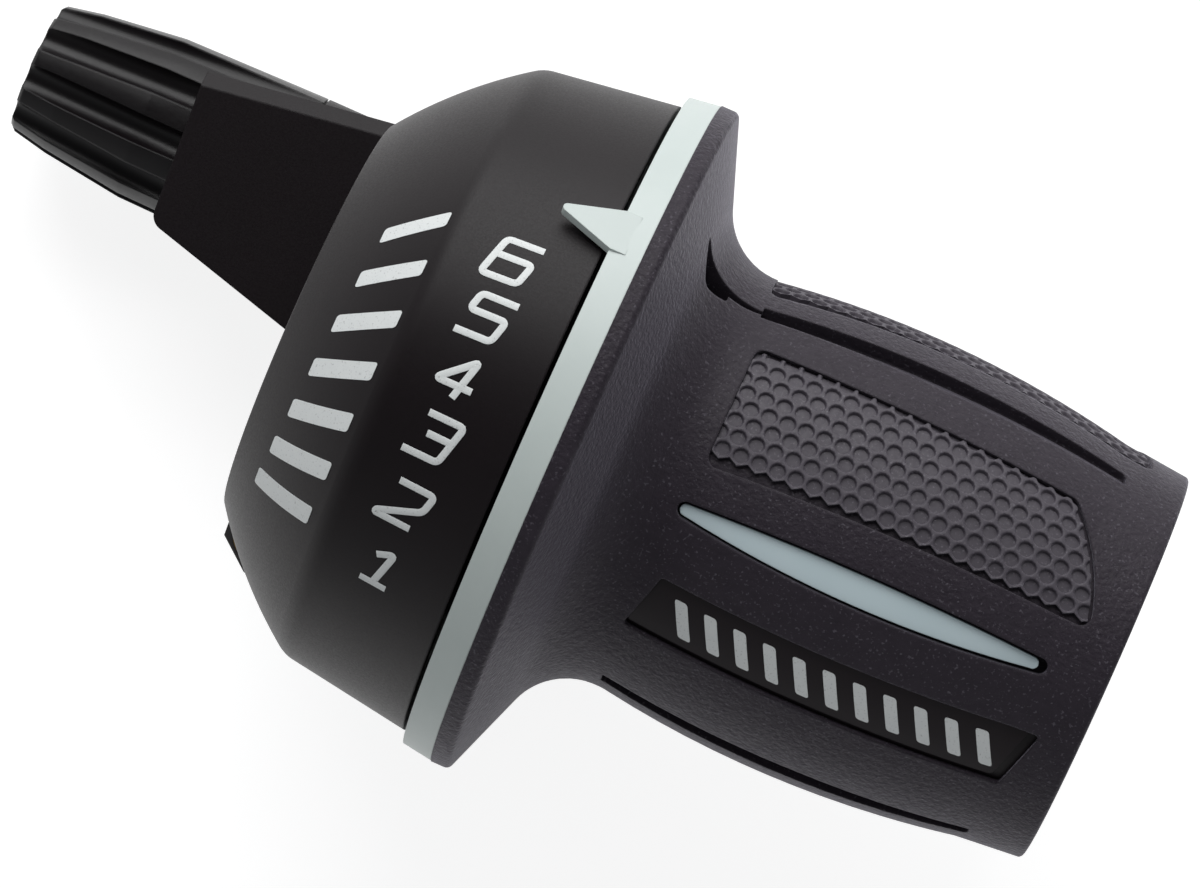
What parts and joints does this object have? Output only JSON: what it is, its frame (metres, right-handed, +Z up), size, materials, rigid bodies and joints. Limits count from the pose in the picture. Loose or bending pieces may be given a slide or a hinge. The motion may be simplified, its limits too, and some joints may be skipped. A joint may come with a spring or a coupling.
{
  "type": "twist grip shifter",
  "caption": "Bicycle gear shifter that turns on the handlebar: rubber grip, numbered housing with pointer ring, hooded cable inlet with a fluted barrel adjuster.",
  "frame": {"origin": "on the handlebar axis, at the inboard face of the clamp", "axes": "+X outboard along the handlebar, +Y forward, +Z up to the rider, where the numbers face"},
  "size_m": [0.0964, 0.0552, 0.0552],
  "materials": {
    "housing_nylon": "fine moulded texture",
    "grip_rubber": "matt moulded rubber",
    "ring_plastic": "satin moulded",
    "knob_plastic": "polished moulded",
    "acetal": "satin moulded",
    "spring_steel": "rolled",
    "zinc_steel": "zinc plated",
    "black_steel": "black oxide",
    "insert_brass": "turned"
  },
  "bodies": {
    "housing": {"housing": "housing_nylon", "retainer_ring": "acetal", "retainer_screws": "zinc_steel", "thrust_washer": "acetal", "detent_spring": "spring_steel", "cable_guide": "acetal", "clamp_screw": "black_steel", "clamp_insert": "insert_brass", "adjuster_spring": "spring_steel"},
    "grip": {"grip_core": "acetal", "indicator_ring": "ring_plastic", "grip_sleeve": "grip_rubber", "grip_inlay": "ring_plastic"},
    "adjuster_slider": {"adjuster_washer": "zinc_steel"},
    "adjuster": {"barrel_adjuster": "knob_plastic"}
  },
  "joints": [
    {"name": "grip_twist", "type": "hinge", "parent": "housing", "child": "grip", "pos_m": [0, 0, 0], "axis": [1, 0, 0], "range_deg": [0, 70], "deforming": ["detent_spring"]},
    {"name": "adjuster_travel", "type": "slide", "parent": "housing", "child": "adjuster_slider", "axis": [-1, 0, 0], "range_m": [0, 0.0024], "deforming": ["adjuster_spring"]},
    {"name": "adjuster_turn", "type": "hinge", "parent": "adjuster_slider", "child": "adjuster", "pos_m": [-0.0072, 0.0093, -0.0198], "axis": [-1, 0, 0], "range_deg": [0, 1080]}
  ],
  "couplings": [
    {"joint": "adjuster_turn", "follows": "adjuster_travel", "rad_per_m": 7854}
  ]
}
